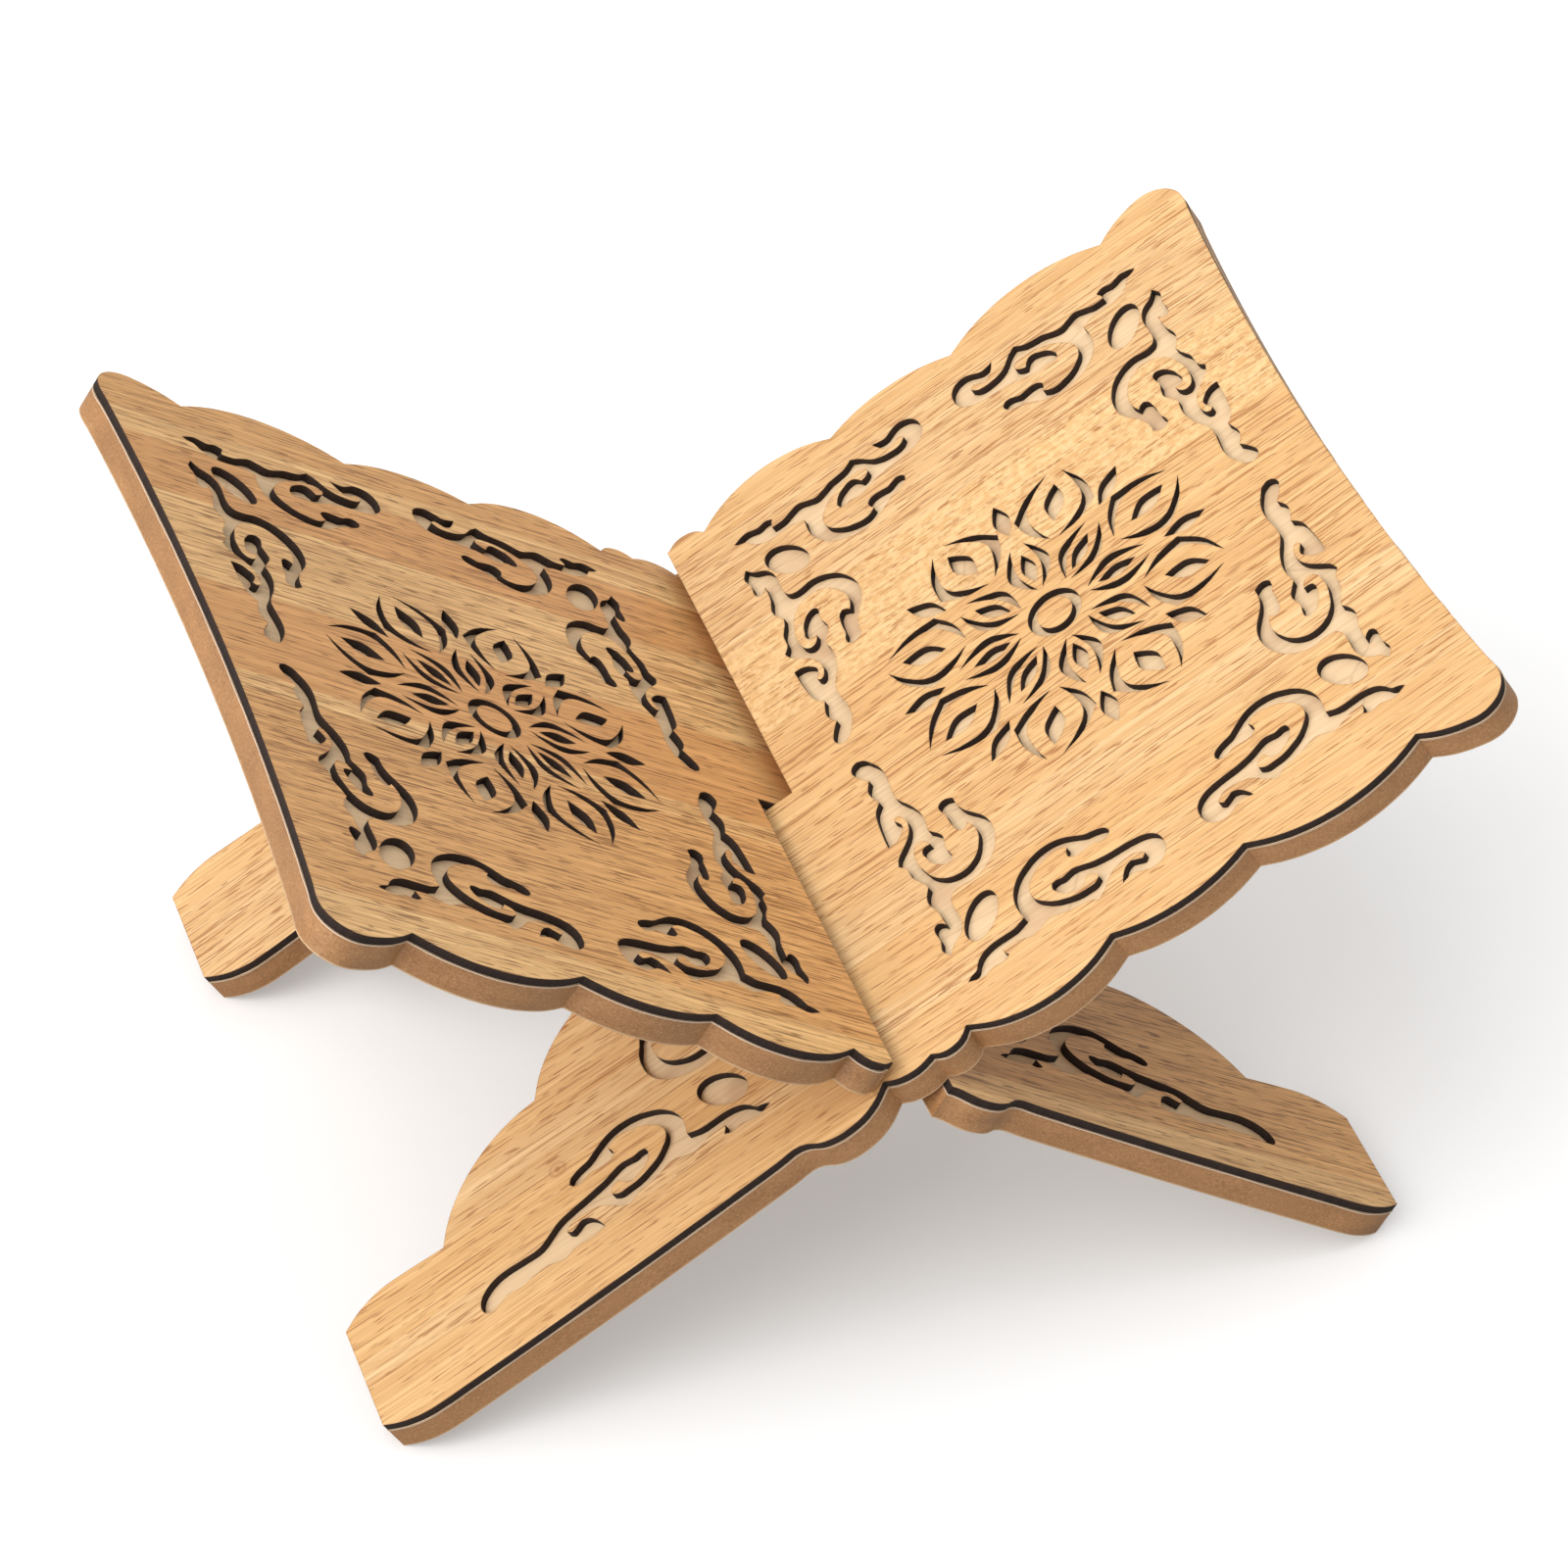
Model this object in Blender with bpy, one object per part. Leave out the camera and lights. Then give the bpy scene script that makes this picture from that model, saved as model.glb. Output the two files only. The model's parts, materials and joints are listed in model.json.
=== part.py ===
"""A folding stand for a holy book: two equal boards that cross in an X and turn in each other's slots.

Each board is a laminate. From its show face down: an oak-faced sheet pierced with scrollwork, a pale
skin that is the floor of the cut-outs, a fibreboard core and a thin rear skin. The left board is the
right one turned half round.

The origin is on the floor under the crossing, +Y runs along the hinge line and +Z is up. Lengths are
in millimetres up to the point where a curve is made. On a board, "across" is measured from the
midline of the board along the hinge line, and "up" is measured up the board from the hinge line.
"""

import math

import bpy

MM = 0.001

# The laminate, from the show face down.
BOARD_THICKNESS = 12.0
FACE_SHEET_THICKNESS = 2.7
PALE_SKIN_THICKNESS = 0.5
REAR_SKIN_THICKNESS = 0.45
GLUE_LINE = 0.05

# How the boards stand.
BOARD_TILT = math.radians(31.46)
SLOT_HALF_WIDTH = 10.1
SLOT_OVERRUN = 0.15
FOOT_END = -184.6
HINGE_HEIGHT = -FOOT_END * math.sin(BOARD_TILT) + BOARD_THICKNESS / 2 * math.cos(BOARD_TILT)

# The edge of a board on one side of its midline, as (across, up) corners with the rise of the arc that
# leaves each corner. A positive rise bulges out of the board.
TOP_CORNER = (126.0, 208.3)
TOP_HOLLOW = 6.1
EDGE = (
    (TOP_CORNER, 3.2),
    ((137.0, 197.0), 1.5),
    ((129.0, 178.4), 8.0),
    ((126.4, 119.8), 5.0),
    ((126.5, 73.5), 8.2),
    ((124.2, 23.7), 3.2),
    ((125.9, 10.6), 2.3),
    ((124.4, -5.5), 6.6),
    ((126.9, -36.2), 0.8),
    ((131.2, -165.0), 1.6),
    ((125.5, FOOT_END), 0.0),
    ((84.5, FOOT_END), 2.2),
    ((77.5, -163.0), 0.0),
    ((78.2, -146.8), 7.5),
    ((47.9, -102.8), 7.2),
)
ARCH_CORNER = (21.3, -61.7)
ARCH_RISE = -12.0
ARC_STEP = 8.0
LEAST_ARC_STEPS = 4

# Ornament outlines as runs of (across, up) points. A curve passes smoothly along a run, and the first
# point of each run is a corner.
PANEL_MIDDLE = 106.9

TOP_SCROLL = (
    # Upper edge, outwards from the rounded inner end to the leaf.
    ((15.3, 181.2), (19.2, 183.1), (22.5, 182.7)),
    ((25.7, 181.6), (28.3, 183.8), (32.0, 184.8)),
    ((44.4, 185.7), (44.2, 183.0), (42.0, 180.0), (39.7, 178.8)),
    # Round the finger of oak under the leaf, and on up to the crest.
    ((36.2, 180.4), (34.9, 179.3), (36.8, 177.5), (41.0, 177.1), (45.0, 178.8), (48.6, 182.3),
     (51.0, 184.6)),
    ((53.8, 185.6), (56.2, 183.8), (61.0, 183.4), (65.0, 181.5)),
    ((68.0, 180.6), (70.8, 182.3), (74.0, 182.9), (78.5, 181.6)),
    ((85.2, 181.2), (83.0, 183.4), (84.2, 185.0)),
    ((88.0, 185.0), (90.0, 185.0), (93.5, 185.9)),
    # Outer tip, and back along the lower edge to the ring.
    ((97.0, 184.2), (94.0, 182.0), (92.0, 178.9), (87.5, 176.7), (80.0, 176.8), (76.0, 175.5),
     (75.1, 171.5), (75.7, 168.0), (73.2, 161.2), (68.0, 156.8), (61.0, 155.0), (55.5, 156.1),
     (49.5, 159.9), (45.5, 161.3)),
    # Tail of the ring.
    ((42.0, 161.4), (40.6, 164.0), (42.0, 166.7), (46.0, 165.8), (52.5, 165.3), (55.8, 163.4)),
    # Inside of the ring, round to the curl.
    ((54.1, 161.0), (58.0, 159.7), (64.5, 161.2), (69.2, 165.2), (70.4, 170.5), (67.4, 176.3),
     (61.0, 179.4), (54.0, 180.0), (49.8, 178.0), (50.2, 175.4)),
    ((53.0, 174.0), (53.3, 176.9), (57.0, 177.0), (61.5, 175.2), (64.0, 171.2), (62.6, 169.9),
     (58.5, 170.6), (53.0, 169.6), (49.6, 171.4)),
    # Underside of the stem, back to the inner end.
    ((47.8, 172.6), (41.0, 172.0), (34.0, 173.9), (28.0, 176.6), (22.0, 176.3), (15.5, 176.0),
     (9.0, 178.2), (5.3, 182.0), (7.6, 184.7), (10.5, 184.2)),
)

# The head of a side scroll in three stretches, which its tail joins between the first and the second.
SCROLL_OUTER_EDGE = (
    # Down the stem from the top tip, past the notch and the swellings, and up inside the leaf.
    ((110.2, 183.5), (111.9, 178.6), (110.7, 174.5), (111.3, 171.2)),
    ((110.2, 169.0), (108.6, 169.8)),
    ((107.0, 170.2), (107.0, 166.0), (109.2, 159.7), (107.0, 153.6), (109.2, 147.5), (110.2, 141.6)),
    ((112.3, 138.2), (110.2, 135.4), (106.4, 131.8), (104.5, 126.0), (105.0, 121.6)),
    ((106.8, 119.8), (108.2, 121.2), (106.4, 124.6), (108.4, 127.7)),
)
SCROLL_INNER_EDGE = (
    # Up the stem and over the curl.
    (97.6, 135.0), (95.6, 140.5), (96.2, 144.5), (96.0, 148.0), (99.6, 148.0), (103.2, 144.2),
    (103.9, 140.6),
)
SCROLL_RING = (
    # Under the curl, round the inside of the ring, round its tail and back up to the top tip.
    ((100.9, 138.2), (102.0, 135.9), (104.4, 135.0), (105.8, 139.5), (104.2, 146.6), (99.8, 152.7),
     (94.4, 155.1), (89.0, 152.2), (85.8, 146.4), (85.4, 141.6)),
    ((87.0, 139.0), (90.2, 140.0), (92.0, 136.9), (91.5, 131.8), (92.9, 128.2), (91.0, 125.6),
     (88.1, 127.8), (86.6, 132.5), (82.6, 138.8), (81.2, 145.0), (83.4, 152.6), (88.6, 158.4),
     (95.0, 160.5)),
    ((101.0, 160.0), (102.5, 164.0), (102.5, 171.5), (104.2, 176.6)),
    ((108.3, 179.9), (109.2, 182.2)),
)

# A panel's side scroll ends in a leaf bent back on itself.
PANEL_TAIL = (
    (112.3, 129.8), (111.4, 125.2), (113.6, 120.8), (112.6, 115.6), (107.0, 113.3), (102.2, 115.0),
    (99.6, 120.8), (98.8, 129.0),
)

# A leg has the same head, narrower and longer, over a long wavy tail.
PANEL_HEAD_TIP = (110.2, 183.5)
LEG_HEAD_TIP = (105.3, -38.3)
LEG_HEAD_STRETCH = (0.976, 1.127)
LEG_TAIL = (
    (109.0, -98.8), (109.8, -104.0), (109.5, -110.0), (110.8, -113.6), (109.1, -120.0), (110.3, -129.5),
    (109.9, -134.5), (112.0, -140.8), (109.5, -143.2), (103.4, -140.0), (101.0, -132.0), (101.2, -119.8),
    (96.8, -111.6), (94.8, -102.0),
)

# The scroll on the web between the legs is a plain open ring.
WEB_SCROLL = (
    ((54.0, -40.6), (52.6, -38.4), (57.0, -36.0), (64.5, -35.6), (72.0, -39.8), (75.8, -49.0),
     (75.2, -57.5), (70.5, -65.4), (62.0, -68.3), (54.5, -66.6), (49.0, -62.0)),
    ((51.5, -60.4), (56.0, -62.9), (62.5, -62.8), (68.6, -57.2), (70.2, -49.5), (67.0, -41.8),
     (60.0, -39.2)),
)

# Ovals as (centre, long and short radius, tilt).
PANEL_OVAL = ((90.3, 170.8), (9.0, 5.3), math.radians(35))
LEG_OVAL = ((89.3, -49.3), (9.05, 5.6), math.radians(48))
OVAL_POINTS = 18

# The medallion: a loose boss inside a ring, with two rings of petals drawn by bowed leaves round
# straight ones. A row is the angle of its first leaf and how far round its middle bows out, both in
# degrees, its inner and outer radius, and its greatest half width.
BOSS_RADIUS = 6.0
RING_RADIUS = 9.0
RING_POINTS = 24
ROSETTE_FOLD = 8
LEAF_ROWS = (
    (-4.0, -10.5, 12.5, 34.0, 1.6),
    (4.0, 10.5, 12.5, 34.0, 1.6),
    (0.0, 0.0, 16.0, 29.5, 2.4),
    (20.0, -13.0, 30.0, 57.0, 2.2),
    (25.0, 13.0, 30.0, 57.0, 2.2),
    (22.5, 0.0, 37.0, 52.0, 3.4),
    (0.0, 0.0, 40.0, 55.0, 2.8),
)

# Points that a smooth curve gets between two given ones.
SMOOTH_STEPS = 2


def arc(start, end, rise):
    """The arc from start up to, but not including, end, with its middle that far left of the chord."""
    if rise == 0:
        return [start]
    (x0, y0), (x1, y1) = start, end
    chord = math.hypot(x1 - x0, y1 - y0)
    half_angle = 2 * math.atan(2 * rise / chord)
    radius = chord / 2 / math.sin(half_angle)
    steps = max(LEAST_ARC_STEPS, round(chord / ARC_STEP))
    points = []
    for step in range(steps):
        angle = half_angle * (2 * step / steps - 1)
        along = 0.5 + radius * math.sin(angle) / chord
        aside = radius * (math.cos(angle) - math.cos(half_angle)) / chord
        across = x0 + along * (x1 - x0) - aside * (y1 - y0)
        up = y0 + along * (y1 - y0) + aside * (x1 - x0)
        points.append((across, up))
    return points


def board_side():
    """The edge of the board on one side, from its top corner down to the arch between the legs."""
    corners = [corner for corner, _ in EDGE] + [ARCH_CORNER]
    points = []
    for (corner, rise), following in zip(EDGE, corners[1:]):
        points += arc(corner, following, rise)
    return points + [ARCH_CORNER]


def board_outline():
    """The whole edge of a board, with the slot open on the side where across is positive."""
    side = board_side()
    far_side = [(-across, up) for across, up in reversed(side)]
    above = [point for point in side if point[1] > SLOT_HALF_WIDTH]
    below = [point for point in side if point[1] < -SLOT_HALF_WIDTH]
    slot = [
        (above[-1][0], SLOT_HALF_WIDTH),
        (-SLOT_OVERRUN, SLOT_HALF_WIDTH),
        (-SLOT_OVERRUN, -SLOT_HALF_WIDTH),
        (below[0][0], -SLOT_HALF_WIDTH),
    ]
    arch = arc(ARCH_CORNER, far_side[0], ARCH_RISE)
    top = arc(far_side[-1], TOP_CORNER, -TOP_HOLLOW)
    return above + slot + below + arch[1:] + far_side + top[1:]


def stretched_to_leg(point):
    """A point of the scroll's head moved from the panel to the leg."""
    across = LEG_HEAD_TIP[0] + LEG_HEAD_STRETCH[0] * (point[0] - PANEL_HEAD_TIP[0])
    up = LEG_HEAD_TIP[1] + LEG_HEAD_STRETCH[1] * (point[1] - PANEL_HEAD_TIP[1])
    return across, up


def changed(runs, change):
    return tuple(tuple(change(point) for point in run) for run in runs)


def panel_side_scroll():
    return SCROLL_OUTER_EDGE + (PANEL_TAIL + SCROLL_INNER_EDGE,) + SCROLL_RING


def leg_scroll():
    outer = changed(SCROLL_OUTER_EDGE, stretched_to_leg)
    inner = changed((SCROLL_INNER_EDGE,), stretched_to_leg)[0]
    return outer + (LEG_TAIL + inner,) + changed(SCROLL_RING, stretched_to_leg)


def all_scrolls():
    """Every scroll of a board: four groups round the panel's corners, and the two legs."""
    scrolls = []
    for side in (-1, 1):
        for runs in (TOP_SCROLL, panel_side_scroll()):
            scrolls.append(changed(runs, lambda point: (side * point[0], point[1])))
            scrolls.append(changed(runs, lambda point: (side * point[0], 2 * PANEL_MIDDLE - point[1])))
        for runs in (leg_scroll(), WEB_SCROLL):
            scrolls.append(changed(runs, lambda point: (side * point[0], point[1])))
    return scrolls


def ellipse(centre, radii, tilt, count):
    points = []
    for step in range(count):
        angle = math.tau * step / count
        long_way, short_way = radii[0] * math.cos(angle), radii[1] * math.sin(angle)
        across = centre[0] + long_way * math.cos(tilt) - short_way * math.sin(tilt)
        up = centre[1] + long_way * math.sin(tilt) + short_way * math.cos(tilt)
        points.append((across, up))
    return points


def all_ovals():
    ovals = []
    for side in (-1, 1):
        panel = ellipse(*PANEL_OVAL, OVAL_POINTS)
        leg = ellipse(*LEG_OVAL, OVAL_POINTS)
        ovals.append([(side * across, up) for across, up in panel])
        ovals.append([(side * across, 2 * PANEL_MIDDLE - up) for across, up in panel])
        ovals.append([(side * across, up) for across, up in leg])
    return ovals


def circle(radius, count):
    return ellipse((0, PANEL_MIDDLE), (radius, radius), 0, count)


def round_centre(radius, degrees):
    heading = math.radians(degrees)
    return radius * math.sin(heading), PANEL_MIDDLE + radius * math.cos(heading)


def leaf(angle, bow, inner, outer, half_width):
    """A leaf of the medallion, pointed at its inner and outer radius, as the runs of a smooth curve."""
    middle = (inner + outer) / 2
    spread = math.degrees(half_width / middle)
    right_edge = (round_centre(inner, angle), round_centre(middle, angle + bow + spread))
    left_edge = (round_centre(outer, angle), round_centre(middle, angle + bow - spread))
    return right_edge, left_edge


def rosette_leaves():
    leaves = []
    for first, *shape in LEAF_ROWS:
        for turn in range(ROSETTE_FOLD):
            leaves.append(leaf(first + turn * 360 / ROSETTE_FOLD, *shape))
    return leaves


def add_straight_spline(curve, points):
    spline = curve.splines.new("POLY")
    spline.points.add(len(points) - 1)
    for knot, (across, up) in zip(spline.points, points):
        knot.co = (up * MM, across * MM, 0, 1)
    spline.use_cyclic_u = True


def add_smooth_spline(curve, runs):
    """A closed curve, smooth along each run and with a corner at the start of each."""
    knots = [(point, place == 0) for run in runs for place, point in enumerate(run)]
    spline = curve.splines.new("BEZIER")
    spline.bezier_points.add(len(knots) - 1)
    for knot, ((across, up), is_corner) in zip(spline.bezier_points, knots):
        handle = "VECTOR" if is_corner else "AUTO"
        knot.co = (up * MM, across * MM, 0)
        knot.handle_left_type = handle
        knot.handle_right_type = handle
    spline.use_cyclic_u = True


def make_layer(name, board, top, thickness, material, straight, smooth=()):
    """A flat piece of a board, cut to the given outlines, with its upper face at that height."""
    curve = bpy.data.curves.new(name, "CURVE")
    curve.dimensions = "2D"
    curve.fill_mode = "BOTH"
    curve.extrude = thickness / 2 * MM
    curve.resolution_u = SMOOTH_STEPS
    for points in straight:
        add_straight_spline(curve, points)
    for runs in smooth:
        add_smooth_spline(curve, runs)
    curve.materials.append(material)
    layer = bpy.data.objects.new(name, curve)
    layer.parent = board
    layer.location.z = (top - thickness / 2) * MM
    board.users_collection[0].objects.link(layer)


def make_board(stand, side, heading, woods):
    """One board on its pivot, which is an empty on the hinge line."""
    board = bpy.data.objects.new(side + "_board", None)
    board.location.z = HINGE_HEIGHT * MM
    board.rotation_euler = (0, -BOARD_TILT, heading)
    stand.objects.link(board)

    edge = board_outline()
    sheet_edges = [edge, circle(RING_RADIUS, RING_POINTS)] + all_ovals()
    cutouts = all_scrolls() + rosette_leaves()
    boss_edge = circle(BOSS_RADIUS, RING_POINTS)
    face_top = BOARD_THICKNESS / 2
    pale_top = face_top - FACE_SHEET_THICKNESS - GLUE_LINE
    core_top = pale_top - PALE_SKIN_THICKNESS - GLUE_LINE
    rear_top = REAR_SKIN_THICKNESS - BOARD_THICKNESS / 2
    core_thickness = core_top - GLUE_LINE - rear_top

    make_layer(
        side + "_face_sheet", board, face_top, FACE_SHEET_THICKNESS, woods["oak"], sheet_edges, cutouts
    )
    make_layer(side + "_boss", board, face_top, FACE_SHEET_THICKNESS, woods["oak"], [boss_edge])
    make_layer(side + "_pale_skin", board, pale_top, PALE_SKIN_THICKNESS, woods["pale"], [edge])
    make_layer(side + "_core", board, core_top, core_thickness, woods["fibreboard"], [edge])
    make_layer(side + "_rear_skin", board, rear_top, REAR_SKIN_THICKNESS, woods["rear"], [edge])


def make_wood(name, colour, roughness):
    material = bpy.data.materials.new(name)
    material.use_nodes = True
    shader = material.node_tree.nodes["Principled BSDF"]
    shader.inputs["Base Color"].default_value = (*colour, 1)
    shader.inputs["Roughness"].default_value = roughness
    shader.inputs["Metallic"].default_value = 0
    return material


for leftover in list(bpy.data.objects):
    bpy.data.objects.remove(leftover)

bible_stand = bpy.data.collections.new("bible_stand")
bpy.context.scene.collection.children.link(bible_stand)

stand_woods = {
    "oak": make_wood("oak_face", (0.62, 0.38, 0.17), 0.45),
    "pale": make_wood("pale_skin", (0.80, 0.62, 0.42), 0.6),
    "fibreboard": make_wood("fibreboard", (0.30, 0.18, 0.09), 0.7),
    "rear": make_wood("rear_skin", (0.45, 0.30, 0.17), 0.6),
}
make_board(bible_stand, "right", 0, stand_woods)
make_board(bible_stand, "left", math.pi, stand_woods)
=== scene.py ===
"""The looks of a bible stand: oak-faced fretwork over pale wood on fibreboard, on a white studio floor.

The CAD holds each layer of a board as a flat piece with a faceted outline. Here every layer is drawn
again with a smooth outline through the same points, and is dressed in wood that follows its board.

A board's own axes are in millimetres: X runs up the board from the hinge line, Y across it along the
hinge line and Z out of the show face. Every piece uses them, so the grain keeps to its board.
"""
import json
import math

import bmesh
import bpy
from mathutils import Euler, Matrix, Vector, noise


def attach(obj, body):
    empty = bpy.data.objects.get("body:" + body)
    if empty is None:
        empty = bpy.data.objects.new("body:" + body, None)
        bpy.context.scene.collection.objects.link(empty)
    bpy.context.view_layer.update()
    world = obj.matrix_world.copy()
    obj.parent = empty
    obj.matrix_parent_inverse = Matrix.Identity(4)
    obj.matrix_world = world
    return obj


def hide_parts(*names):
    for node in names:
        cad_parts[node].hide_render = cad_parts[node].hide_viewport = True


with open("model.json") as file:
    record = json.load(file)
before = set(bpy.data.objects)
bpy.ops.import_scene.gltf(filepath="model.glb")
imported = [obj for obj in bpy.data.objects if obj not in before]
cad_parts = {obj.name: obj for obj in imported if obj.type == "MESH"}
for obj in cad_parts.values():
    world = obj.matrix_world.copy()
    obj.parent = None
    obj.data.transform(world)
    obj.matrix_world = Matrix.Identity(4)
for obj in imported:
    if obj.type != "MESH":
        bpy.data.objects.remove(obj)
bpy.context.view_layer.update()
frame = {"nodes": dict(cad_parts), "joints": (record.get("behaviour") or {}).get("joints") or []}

MM = 0.001

# Both boards have one tilt, and the left one is turned half round from the right one.
BOARD_TILT = math.radians(31.46)
HEADING = {"right": 0.0, "left": math.pi}
HINGE = Vector(frame["joints"][0]["pos_m"])

# Heights on a board in its own millimetres: the show face, the top and foot of the cut walls below it, and
# the band in which the pale skin's edge turns from burnt to clean pale wood whitened by a painted highlight.
FACE = 6.0
WALL_TOP = 5.98
WALL_FOOT = 3.3
EDGE_BURNT = 3.04
EDGE_CLEAN_AND_PAINTED_HIGHLIGHT = 2.96

# The veneer strips are laid out this far to each side of the board's middle, a little past its edges.
HALF_ACROSS = 140.0

# The slot lies this near the hinge line, and reaches from here across to the board's edge.
SLOT_REACH = 11.0
SLOT_START = -1.5

# The smooth outlines. Points this close are one point, and a turn or an edge sharper than these stays sharp.
SAME_POINT = 0.01
SHARP_TURN = math.radians(46)
CREASE = math.radians(35)
CURVE_STEPS = 4

# The pale skin's edge stands out unevenly, by LIP times LIP_BASE plus or minus a wave.
LIP = 0.3
LIP_BASE = 0.5
LIP_WAVE = 0.11

# Strips of veneer across each board, as (start, tone, share of pores, share of fleck).
STRIPS = {
    "right": (
        (-140, "mid", 0.2, 0.0),
        (-110, "pale", 0.5, 0.0),
        (-100, "deep", 0.4, 0.0),
        (-78, "pale", 0.2, 0.0),
        (-58, "mid", 0.6, 0.0),
        (-20, "deep", 0.6, 0.1),
        (28, "deep", 0.5, 1.0),
        (70, "pale", 0.7, 0.0),
        (116, "mid", 0.2, 0.0),
    ),
    "left": (
        (-140, "mid", 0.6, 0.0),
        (-118, "pale", 0.4, 0.0),
        (-104, "deep", 0.6, 0.0),
        (-75, "pale", 0.8, 0.1),
        (-30, "deep", 0.3, 0.0),
        (15, "pale", 0.9, 0.0),
        (24, "mid", 1.0, 0.0),
        (60, "mid", 0.7, 0.0),
        (118, "pale", 0.5, 0.2),
    ),
}

# How deep the strips of a board are spread through the grain's noise, so that no two look alike.
STRIP_SPREAD = {"right": 50.0, "left": 90.0}

# A knot in the right board's front leg. Its rings are a sine of this many radians per millimetre.
KNOT_SIDE = "right"
KNOT = (-105.0, -78.0, FACE)
KNOT_RADIUS = 5.0
KNOT_RINGS = 3.0

# Noise patterns. A scale is in cells per millimetre up the board, across it and through it.
WANDER = {"scale": (0.004, 0.008, 0.0)}
STREAKS = {"scale": (0.010, 0.30, 1.0), "detail": 4.0, "roughness": 0.65}
FINE_GRAIN = {"scale": (0.020, 1.2, 1.0), "detail": 3.0}
LONG_PORES = {"scale": (0.030, 1.3, 1.0), "detail": 1.0}
SHORT_PORES = {"scale": (0.100, 1.2, 1.0), "detail": 1.0}
RIPPLES = {"scale": (0.38, 0.55, 1.0), "roughness": 0.6}
SMOKE = {"scale": (1.2, 1.2, 0.15)}
SKIN_GRAIN = {"scale": (0.03, 0.9, 1.0), "detail": 3.0}
SKIN_PATCHES = {"scale": (0.035, 0.05, 1.0)}
SKIN_PLATES = (0.012, 0.030, 0.0)
FIBRES = {"scale": (1.1, 1.1, 2.0), "detail": 3.0, "roughness": 0.75}
FIBRE_CLOUDS = {"scale": (0.05, 0.05, 0.2)}
REAR_GRAIN = {"scale": (0.012, 0.6, 1.0), "detail": 4.0, "roughness": 0.6}
REAR_CLOUDS = {"scale": (0.01, 0.03, 1.0)}

# What each pattern does, as span() takes it: (low, high), then (bottom, top) where those are not 0 and 1.
WANDER_SHIFT = (0.0, 1.0, -6.0, 6.0)
STREAK_SHADE = (0.36, 0.64, 0.45, 0.0)
FINE_SHADE = (0.40, 0.70, 0.0, 0.6)
PORE_EDGE = (0.66, 0.70)
RIPPLE_EDGE = (0.42, 0.60)
RING_SHADE = (-1.0, 1.0, 0.2, 0.8)
CHAR_FADE = (WALL_FOOT, FACE, 0.0, 0.6)
SMOKE_FADE = (0.3, 0.7, -0.2, 0.3)
STAIN_EDGE = (0.56, 0.68, 0.0, 0.6)
SPLIT_EDGE = (0.012, 0.0)
TURNED_AWAY = (0.8, 0.4)
DARK_FIBRE_EDGE = (0.50, 0.72, 0.0, 0.7)
PALE_FIBRE_EDGE = (0.46, 0.28, 0.0, 0.6)
REAR_CLOUD_SHADE = (0.4, 0.7, 0.0, 0.4)
MIDDLE_NOISE = (0.3, 0.7)
NEAR_EDGE = (0.999, 0.80)

# How strongly the small features show, how much a strip's share adds to its pores, and how wide the
# scorch is in millimetres.
PORE_STRENGTH = 0.75
PORE_GAIN = 0.08
FLECK_STRENGTH = 0.45
SCORCH_STRENGTH = 0.45
SCORCH_WIDTH = 0.9
SPLIT_STRENGTH = 0.3

# How many rays find how near an edge is.
EDGE_SAMPLES = 4

# Roughness from one end of each pattern to the other, and the depth of each surface's relief in millimetres.
OAK_ROUGHNESS = (0.9, 0.45)
SKIN_ROUGHNESS = (0.55, 0.75)
FIBREBOARD_ROUGHNESS = (0.38, 0.6)
REAR_ROUGHNESS = (0.5, 0.7)
RELIEF = 0.05
SKIN_RELIEF = 0.04

CAMERA_PLACE = Vector((-0.5016, -1.4519, 1.3657))
CAMERA_AIM = Vector((0.0092, 0.0183, 0.1000))
CAMERA_ROLL = math.radians(1.31)
CAMERA_LENS = 150.0

# Each light as (name, where it comes from, strength, width of the light in degrees).
LIGHTS = (
    ("key", Vector((-0.60, -0.15, 0.78)), 1.75, 60),
    ("low_fill", Vector((-0.80, -0.45, 0.42)), 1.1, 60),
    ("top_fill", Vector((0.20, 0.25, 0.95)), 0.57, 60),
)
SKY_STRENGTH = 0.47
FLOOR_SIZE = 16.0
FLOOR_ROUGHNESS = 0.9
FLOOR_WHITE = 0.75
FLOOR_GLOW = 0.28
FLOOR_BOUNCE = 0.45


def colour(red, green, blue):
    """A screen colour from 0 to 255 as the linear colour that nodes take, by the sRGB curve."""
    def linear(value):
        """One of the three values, from 0 to 255, as linear light from 0 to 1."""
        value /= 255
        return value / 12.92 if value <= 0.04045 else ((value + 0.055) / 1.055) ** 2.4
    return (linear(red), linear(green), linear(blue), 1.0)


# The left board's oak is warmer than the right board's, with darker grain and pores.
OAK = {
    "right": {
        "deep": colour(235, 192, 134),
        "mid": colour(236, 194, 138),
        "pale": colour(237, 200, 148),
        "grain": colour(196, 140, 78),
        "pore": colour(164, 104, 52),
    },
    "left": {
        "deep": colour(236, 178, 114),
        "mid": colour(244, 190, 124),
        "pale": colour(255, 210, 145),
        "grain": colour(178, 120, 64),
        "pore": colour(126, 78, 38),
    },
}
OAK_FLECK = colour(252, 216, 162)
OAK_SCORCH = colour(120, 76, 42)
CHAR = colour(28, 17, 12)
PALE_CHAR = colour(60, 40, 29)

SKIN = (colour(222, 187, 144), colour(237, 205, 164))
SKIN_STAIN = colour(200, 158, 120)
SKIN_SPLIT = colour(170, 128, 96)
SKIN_BURNT_EDGE = colour(150, 120, 95)
# The lower cut edge of the pale skin: its own pale colour, made whiter as a painted highlight.
SKIN_CLEAN_EDGE_AND_PAINTED_HIGHLIGHT = colour(240, 220, 196)

FIBREBOARD = (colour(166, 118, 73), colour(184, 134, 87))
DARK_FIBRE = colour(126, 86, 54)
PALE_FIBRE = colour(218, 172, 126)

REAR_SKIN = (colour(196, 158, 118), colour(222, 188, 148))
REAR_SHADE = colour(184, 144, 104)


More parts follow.
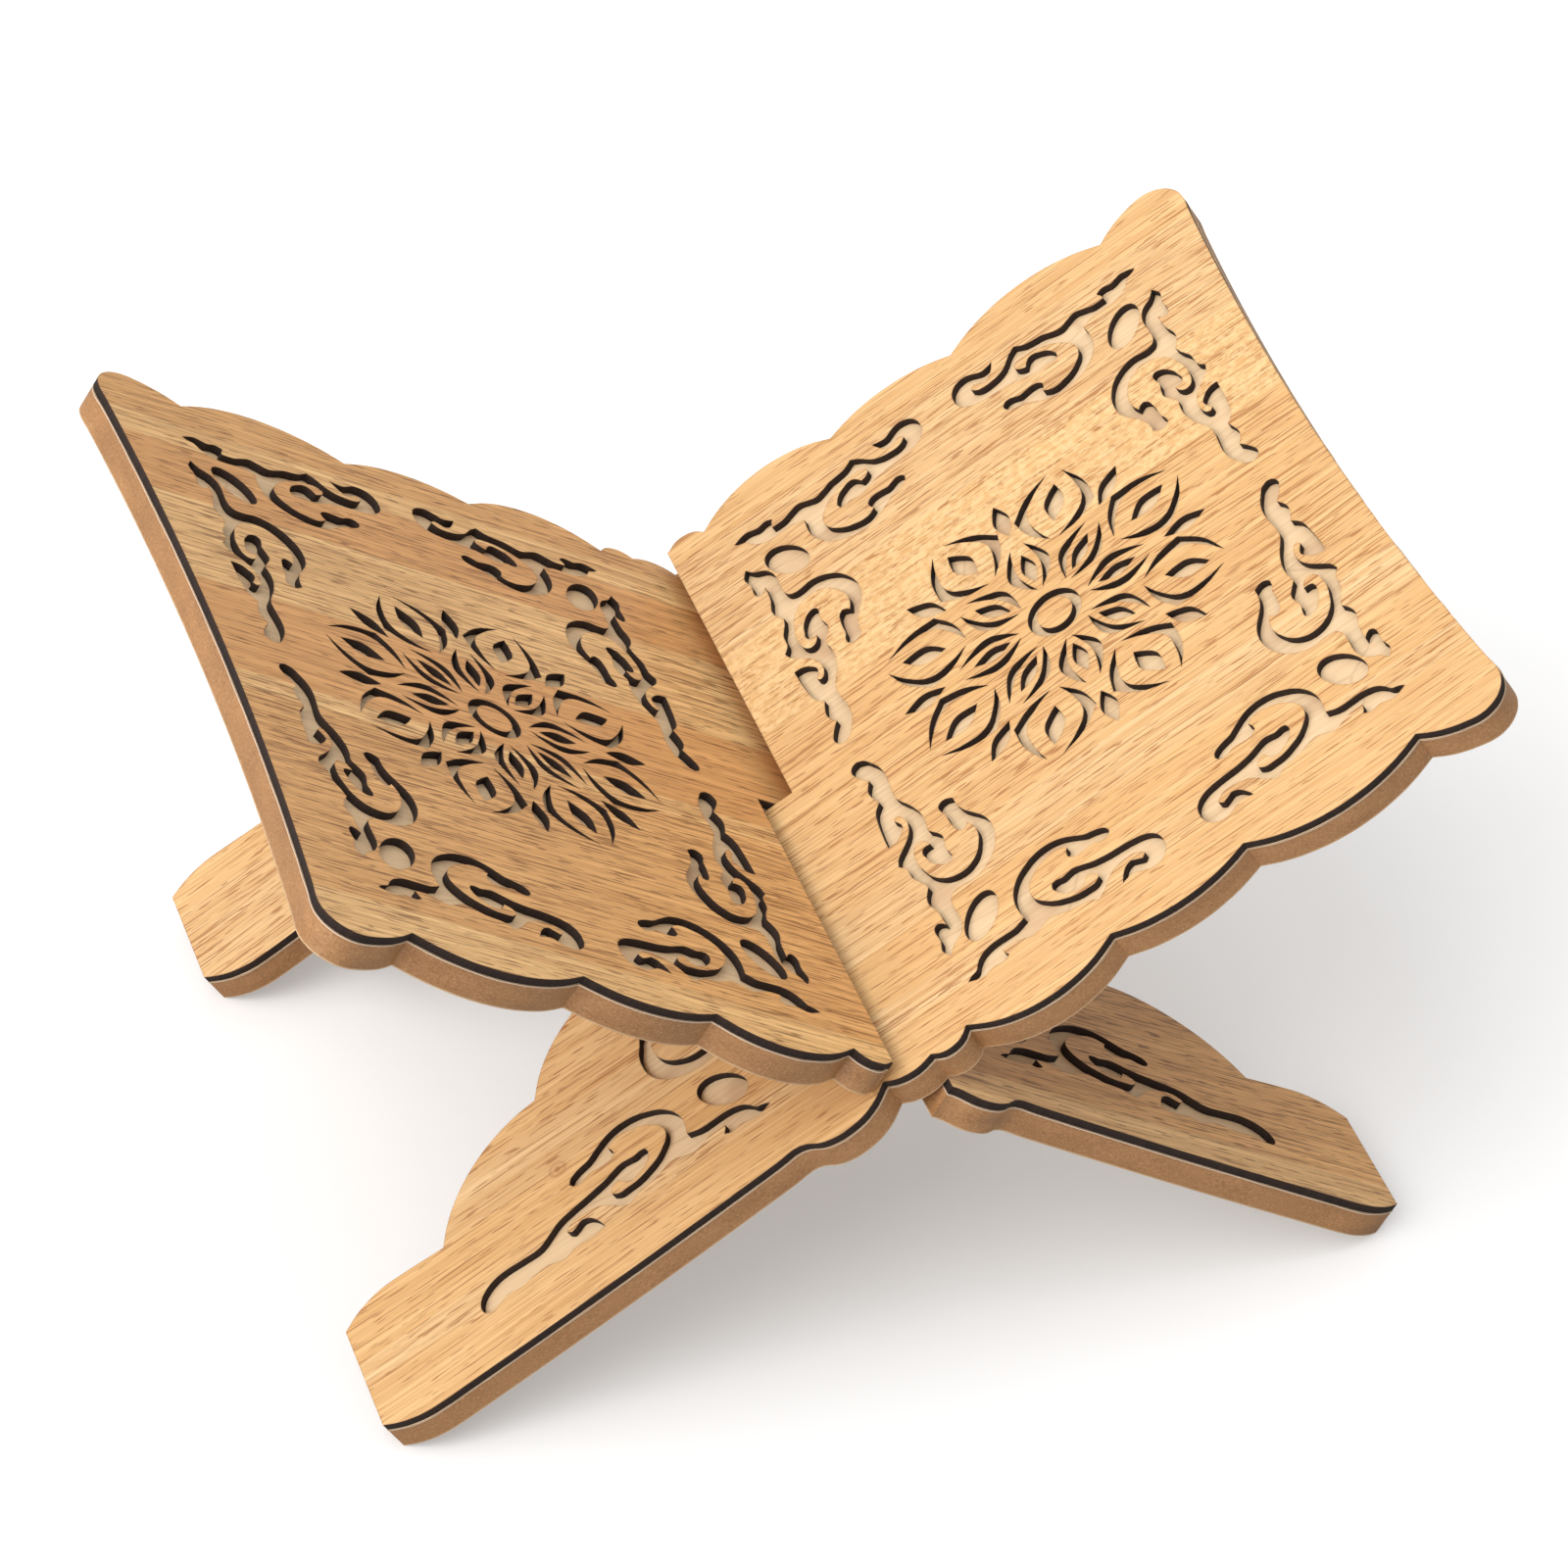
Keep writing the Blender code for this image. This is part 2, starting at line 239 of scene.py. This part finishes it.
def board_space(side):
    """The change from a board's own millimetres to the frame."""
    turn = Euler((0.0, -BOARD_TILT, HEADING[side])).to_matrix().to_4x4()
    return Matrix.Translation(HINGE) @ turn @ Matrix.Scale(MM, 4)


def top_rim(shape, middle):
    """The edges round the upper face of a flat layer, which have one face above the middle height."""
    rim = set()
    for edge in shape.edges:
        faces_above = [all(vertex.co.z > middle for vertex in face.verts) for face in edge.link_faces]
        if faces_above.count(True) == 1:
            rim.add(edge)
    return rim


def read_outlines(node, to_board):
    """The outlines of a flat CAD layer and the heights of its two faces, in the board's millimetres."""
    shape = bmesh.new()
    shape.from_mesh(node.data)
    shape.transform(to_board)
    bmesh.ops.remove_doubles(shape, verts=shape.verts, dist=SAME_POINT)
    heights = [vertex.co.z for vertex in shape.verts]
    rim = top_rim(shape, (min(heights) + max(heights)) / 2)
    outlines = []
    for edge in shape.edges:
        if edge not in rim:
            continue
        rim.remove(edge)
        start, corner = edge.verts
        outline = [start.co.xy]
        while corner is not start:
            outline.append(corner.co.xy)
            following = next(other for other in corner.link_edges if other in rim)
            rim.remove(following)
            corner = following.other_vert(corner)
        outlines.append(outline)
    shape.free()
    return outlines, min(heights), max(heights)


def add_outline(curve, outline):
    """A closed spline, smooth except where the outline turns sharply."""
    spline = curve.splines.new("BEZIER")
    spline.bezier_points.add(len(outline) - 1)
    for place, point in enumerate(spline.bezier_points):
        before, here, after = outline[place - 1], outline[place], outline[(place + 1) % len(outline)]
        is_corner = (here - before).angle(after - here) > SHARP_TURN
        point.co = (*here, 0.0)
        point.handle_left_type = "VECTOR" if is_corner else "AUTO"
        point.handle_right_type = point.handle_left_type
    spline.use_cyclic_u = True


def fill_outlines(name, outlines, thickness):
    """A flat mesh of that thickness between the outlines, centred on height zero."""
    curve = bpy.data.curves.new(name, "CURVE")
    curve.dimensions = "2D"
    curve.fill_mode = "BOTH"
    curve.extrude = thickness / 2
    curve.resolution_u = CURVE_STEPS
    for outline in outlines:
        add_outline(curve, outline)
    pattern = bpy.data.objects.new(name, curve)
    mesh = bpy.data.meshes.new_from_object(pattern)
    bpy.data.objects.remove(pattern)
    return mesh


def ragged(shape):
    """Pushes the edge of a layer out unevenly, except inside the slot."""
    for vertex in shape.verts:
        in_slot = abs(vertex.co.x) < SLOT_REACH and vertex.co.y > SLOT_START
        if not in_slot:
            wave = noise.noise(Vector((vertex.co.x, vertex.co.y, 0.0)) * LIP_WAVE)
            outward = vertex.normal.xy.normalized()
            vertex.co.xy += outward * LIP * max(0.0, LIP_BASE + wave)


def redraw(side, layer, material, has_lip=False):
    """Puts a smooth copy of a CAD layer in its place, in the given wood."""
    name = side + "_" + layer
    outlines, bottom, top = read_outlines(frame["nodes"][name], board_space(side).inverted())
    mesh = fill_outlines(name, outlines, top - bottom)

    shape = bmesh.new()
    shape.from_mesh(mesh)
    bmesh.ops.remove_doubles(shape, verts=shape.verts, dist=SAME_POINT)
    bmesh.ops.recalc_face_normals(shape, faces=shape.faces)
    bmesh.ops.translate(shape, verts=shape.verts, vec=(0.0, 0.0, (top + bottom) / 2))
    if has_lip:
        ragged(shape)
    shape.to_mesh(mesh)
    shape.free()
    mesh.shade_smooth()
    mesh.set_sharp_from_angle(angle=CREASE)
    mesh.materials.clear()
    mesh.materials.append(material)

    piece = bpy.data.objects.new("smooth_" + name, mesh)
    piece.matrix_world = board_space(side)
    bpy.context.scene.collection.objects.link(piece)
    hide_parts(name)
    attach(piece, side + "_board")
    return piece


def wire(tree, kind, inputs, **settings):
    """Adds a node and gives each of its inputs a value, or a link from another node's output."""
    node = tree.nodes.new(kind)
    for name, value in settings.items():
        setattr(node, name, value)
    for name, value in inputs.items():
        if isinstance(value, bpy.types.NodeSocket):
            tree.links.new(value, node.inputs[name])
        else:
            node.inputs[name].default_value = value
    return node


def calculate(tree, operation, first, second=0.0):
    """One step of arithmetic on two values."""
    return wire(tree, "ShaderNodeMath", {0: first, 1: second}, operation=operation).outputs[0]


def noise_at(tree, place, scale, detail=2.0, roughness=0.5):
    """Noise between 0 and 1, with that many cells per millimetre along each of the board's axes."""
    cells = wire(tree, "ShaderNodeMapping", {"Vector": place, "Scale": scale}).outputs[0]
    inputs = {"Vector": cells, "Scale": 1.0, "Detail": detail, "Roughness": roughness}
    return wire(tree, "ShaderNodeTexNoise", inputs).outputs["Fac"]


def span(tree, value, low, high, bottom=0.0, top=1.0):
    """The value mapped from low..high to bottom..top, and held there."""
    inputs = {"Value": value, "From Min": low, "From Max": high, "To Min": bottom, "To Max": top}
    return wire(tree, "ShaderNodeMapRange", inputs).outputs["Result"]


def mix(tree, share, first, second):
    """The first colour with that share of the second laid over it."""
    inputs = {0: share, 6: first, 7: second}
    return wire(tree, "ShaderNodeMix", inputs, data_type="RGBA").outputs[2]


def along(tree, vector, axis):
    """How far a place or a direction reaches along one of the board's axes."""
    return wire(tree, "ShaderNodeSeparateXYZ", {"Vector": vector}).outputs[axis]


def grey(value):
    """A grey from 0 to 1, already linear."""
    return (value, value, value, 1.0)


def edge_nearness(tree, radius):
    """From 0 on open faces to 1 on edges within that many millimetres."""
    rounded = wire(tree, "ShaderNodeBevel", {"Radius": radius * MM}, samples=EDGE_SAMPLES).outputs[0]
    flat = wire(tree, "ShaderNodeNewGeometry", {}).outputs["True Normal"]
    agree = wire(tree, "ShaderNodeVectorMath", {0: rounded, 1: flat}, operation="DOT_PRODUCT")
    return span(tree, agree.outputs["Value"], *NEAR_EDGE)


def start_material(name):
    """A new material, its node tree, and the place on the board in millimetres."""
    material = bpy.data.materials.new(name)
    material.use_nodes = True
    tree = material.node_tree
    place = wire(tree, "ShaderNodeTexCoord", {}).outputs["Object"]
    return material, tree, place


def finish_material(tree, base, roughness, height, depth):
    """Links the colour, the roughness and a bump of that many millimetres to the shader."""
    shader = tree.nodes["Principled BSDF"]
    bump = wire(tree, "ShaderNodeBump", {"Height": height, "Strength": 1.0, "Distance": depth * MM})
    tree.links.new(base, shader.inputs["Base Color"])
    tree.links.new(roughness, shader.inputs["Roughness"])
    tree.links.new(bump.outputs[0], shader.inputs["Normal"])


def strip_looks(tree, across, side):
    """The tone, the shares of pores and fleck, and a number of its own for the veneer strip there."""
    place = calculate(tree, "DIVIDE", calculate(tree, "ADD", across, HALF_ACROSS), 2 * HALF_ACROSS)
    tones = wire(tree, "ShaderNodeValToRGB", {"Fac": place})
    shares = wire(tree, "ShaderNodeValToRGB", {"Fac": place})
    for count, (start, tone, pores, fleck) in enumerate(STRIPS[side]):
        own_number = count / len(STRIPS[side])
        for node, look in ((tones, OAK[side][tone]), (shares, (pores, fleck, own_number, 1.0))):
            ramp = node.color_ramp
            ramp.interpolation = "CONSTANT"
            if count == 0:
                ramp.elements.remove(ramp.elements[1])
                stop = ramp.elements[0]
            else:
                stop = ramp.elements.new((start + HALF_ACROSS) / (2 * HALF_ACROSS))
            stop.color = look
    parts = wire(tree, "ShaderNodeSeparateColor", {"Color": shares.outputs["Color"]}).outputs
    return tones.outputs["Color"], parts["Red"], parts["Green"], parts["Blue"]


def knot(tree, place):
    """The rings of the one small knot, from 0 away from it to nearly 1 at its heart."""
    to_heart = wire(tree, "ShaderNodeVectorMath", {0: place, 1: KNOT}, operation="DISTANCE")
    apart = to_heart.outputs["Value"]
    rings = calculate(tree, "SINE", calculate(tree, "MULTIPLY", apart, KNOT_RINGS))
    nearness = span(tree, apart, KNOT_RADIUS, 0.0)
    return calculate(tree, "MULTIPLY", span(tree, rings, *RING_SHADE), nearness)


def grain_space(tree, place, own_number, side):
    """The place on the board with the grain's slow wander, and each strip in noise of its own."""
    wander = span(tree, noise_at(tree, place, **WANDER), *WANDER_SHIFT)
    return wire(tree, "ShaderNodeCombineXYZ", {
        "X": along(tree, place, "X"),
        "Y": calculate(tree, "ADD", along(tree, place, "Y"), wander),
        "Z": calculate(tree, "MULTIPLY", own_number, STRIP_SPREAD[side]),
    }).outputs[0]


def oak_figure(tree, place, side):
    """The colour and the relief of the oak's show face."""
    tone, pore_share, fleck_share, own_number = strip_looks(tree, along(tree, place, "Y"), side)
    grain = grain_space(tree, place, own_number, side)

    streaks = noise_at(tree, grain, **STREAKS)
    fine = noise_at(tree, grain, **FINE_GRAIN)
    base = mix(tree, span(tree, streaks, *STREAK_SHADE), tone, OAK[side]["grain"])
    base = mix(tree, span(tree, fine, *FINE_SHADE), base, OAK[side]["grain"])

    long_pores = noise_at(tree, grain, **LONG_PORES)
    short_pores = noise_at(tree, grain, **SHORT_PORES)
    more = calculate(tree, "MULTIPLY", pore_share, PORE_GAIN)
    pores = calculate(tree, "ADD", calculate(tree, "MAXIMUM", long_pores, short_pores), more)
    pore = span(tree, pores, *PORE_EDGE)
    base = mix(tree, calculate(tree, "MULTIPLY", pore, PORE_STRENGTH), base, OAK[side]["pore"])

    ripples = span(tree, noise_at(tree, grain, **RIPPLES), *RIPPLE_EDGE)
    fleck = calculate(tree, "MULTIPLY", ripples, fleck_share)
    base = mix(tree, calculate(tree, "MULTIPLY", fleck, FLECK_STRENGTH), base, OAK_FLECK)

    relief = calculate(tree, "ADD", calculate(tree, "SUBTRACT", fine, pore), fleck)
    return base, relief


def burnt_wall(tree, place):
    """The char on a laser-cut wall, paler towards the face and mottled by smoke."""
    rise = span(tree, along(tree, place, "Z"), *CHAR_FADE)
    smoke = span(tree, noise_at(tree, place, **SMOKE), *SMOKE_FADE)
    return mix(tree, calculate(tree, "ADD", rise, smoke), CHAR, PALE_CHAR)


def oak(side):
    """Straight-grained oak veneer in strips, scorched where the laser cut it."""
    material, tree, place = start_material(side + "_oak")
    base, relief = oak_figure(tree, place, side)
    if side == KNOT_SIDE:
        base = mix(tree, knot(tree, place), base, OAK[side]["pore"])
    scorch = edge_nearness(tree, SCORCH_WIDTH)
    base = mix(tree, calculate(tree, "MULTIPLY", scorch, SCORCH_STRENGTH), base, OAK_SCORCH)
    on_face = span(tree, along(tree, place, "Z"), WALL_TOP, FACE)
    base = mix(tree, on_face, burnt_wall(tree, place), base)
    finish_material(tree, base, span(tree, on_face, 0.0, 1.0, *OAK_ROUGHNESS), relief, RELIEF)
    return material


def pale_veneer(side):
    """The pale skin seen in the cut-outs, with a few splits; its cut edge is burnt above, and below it is
    clean pale wood whitened by a painted highlight.
    """
    material, tree, place = start_material(side + "_pale_veneer")
    grain = noise_at(tree, place, **SKIN_GRAIN)
    patches = noise_at(tree, place, **SKIN_PATCHES)
    plates = wire(tree, "ShaderNodeMapping", {"Vector": place, "Scale": SKIN_PLATES}).outputs[0]
    crack = wire(tree, "ShaderNodeTexVoronoi", {"Vector": plates, "Scale": 1.0}, feature="DISTANCE_TO_EDGE")
    split = span(tree, crack.outputs["Distance"], *SPLIT_EDGE)
    base = mix(tree, span(tree, grain, *MIDDLE_NOISE), *SKIN)
    base = mix(tree, span(tree, patches, *STAIN_EDGE), base, SKIN_STAIN)
    base = mix(tree, calculate(tree, "MULTIPLY", split, SPLIT_STRENGTH), base, SKIN_SPLIT)

    burnt = span(tree, along(tree, place, "Z"), EDGE_CLEAN_AND_PAINTED_HIGHLIGHT, EDGE_BURNT)
    # On the side of the cut edge: burnt colour above, and below it the pale wood whitened by a painted
    # highlight.
    edge = mix(tree, burnt, SKIN_CLEAN_EDGE_AND_PAINTED_HIGHLIGHT, SKIN_BURNT_EDGE)
    facing = wire(tree, "ShaderNodeTexCoord", {}).outputs["Normal"]
    base = mix(tree, span(tree, along(tree, facing, "Z"), *TURNED_AWAY), base, edge)
    finish_material(tree, base, span(tree, grain, 0.0, 1.0, *SKIN_ROUGHNESS), grain, SKIN_RELIEF)
    return material


def fibreboard(side):
    """Brown fibreboard with fine pale and dark fibres, satin where the saw burnished it."""
    material, tree, place = start_material(side + "_fibreboard")
    fibres = noise_at(tree, place, **FIBRES)
    clouds = noise_at(tree, place, **FIBRE_CLOUDS)
    base = mix(tree, span(tree, clouds, *MIDDLE_NOISE), *FIBREBOARD)
    base = mix(tree, span(tree, fibres, *DARK_FIBRE_EDGE), base, DARK_FIBRE)
    base = mix(tree, span(tree, fibres, *PALE_FIBRE_EDGE), base, PALE_FIBRE)
    roughness = span(tree, clouds, *MIDDLE_NOISE, *FIBREBOARD_ROUGHNESS)
    finish_material(tree, base, roughness, fibres, RELIEF)
    return material


def rear_veneer(side):
    """The skin on the back of the board: the same wood as the pale skin, duller."""
    material, tree, place = start_material(side + "_rear_veneer")
    grain = noise_at(tree, place, **REAR_GRAIN)
    clouds = noise_at(tree, place, **REAR_CLOUDS)
    base = mix(tree, span(tree, grain, *MIDDLE_NOISE), *REAR_SKIN)
    base = mix(tree, span(tree, clouds, *REAR_CLOUD_SHADE), base, REAR_SHADE)
    finish_material(tree, base, span(tree, grain, 0.0, 1.0, *REAR_ROUGHNESS), grain, RELIEF)
    return material


def make_board(side):
    """Every layer of one board in its own wood."""
    oak_face = oak(side)
    pieces = {
        "oak_face": [redraw(side, "face_sheet", oak_face), redraw(side, "boss", oak_face)],
        "pale_skin": [redraw(side, "pale_skin", pale_veneer(side), has_lip=True)],
        "fibreboard": [redraw(side, "core", fibreboard(side))],
        "rear_skin": [redraw(side, "rear_skin", rear_veneer(side))],
    }


def make_floor():
    """A white floor that shows its white to the camera but throws less light up at the boards."""
    bpy.ops.mesh.primitive_plane_add(size=FLOOR_SIZE)
    floor = bpy.context.object
    floor.name = "floor"
    material = bpy.data.materials.new("floor_white")
    material.use_nodes = True
    tree = material.node_tree
    shader = tree.nodes["Principled BSDF"]
    seen = wire(tree, "ShaderNodeLightPath", {}).outputs["Is Camera Ray"]
    glow = calculate(tree, "MULTIPLY", seen, FLOOR_GLOW)
    tree.links.new(mix(tree, seen, grey(FLOOR_BOUNCE), grey(FLOOR_WHITE)), shader.inputs["Base Color"])
    tree.links.new(glow, shader.inputs["Emission Strength"])
    shader.inputs["Emission Color"].default_value = grey(1.0)
    shader.inputs["Roughness"].default_value = FLOOR_ROUGHNESS
    floor.data.materials.append(material)


def aim(thing, target):
    """Turns a camera or a light to look at a place, with its top upward."""
    thing.rotation_euler = (target - thing.location).to_track_quat("-Z", "Y").to_euler()


def make_light():
    """Very wide suns, like large soft boxes, and an even white sky."""
    for name, source, strength, width in LIGHTS:
        light = bpy.data.lights.new(name, "SUN")
        light.energy = strength
        light.angle = math.radians(width)
        lamp = bpy.data.objects.new(name, light)
        lamp.location = source
        aim(lamp, Vector())
        bpy.context.scene.collection.objects.link(lamp)

    world = bpy.data.worlds.new("sky")
    world.use_nodes = True
    background = world.node_tree.nodes["Background"]
    background.inputs["Color"].default_value = grey(1.0)
    background.inputs["Strength"].default_value = SKY_STRENGTH
    bpy.context.scene.world = world


def make_camera():
    """A long lens from the front left, high up, and colours shown as they are."""
    camera = bpy.data.objects.new("camera", bpy.data.cameras.new("camera"))
    camera.data.lens = CAMERA_LENS
    camera.location = CAMERA_PLACE
    aim(camera, CAMERA_AIM)
    camera.rotation_euler.rotate_axis("Z", CAMERA_ROLL)
    bpy.context.scene.collection.objects.link(camera)
    bpy.context.scene.camera = camera
    bpy.context.scene.view_settings.view_transform = "Standard"


for board in HEADING:
    make_board(board)
make_floor()
make_light()
make_camera()
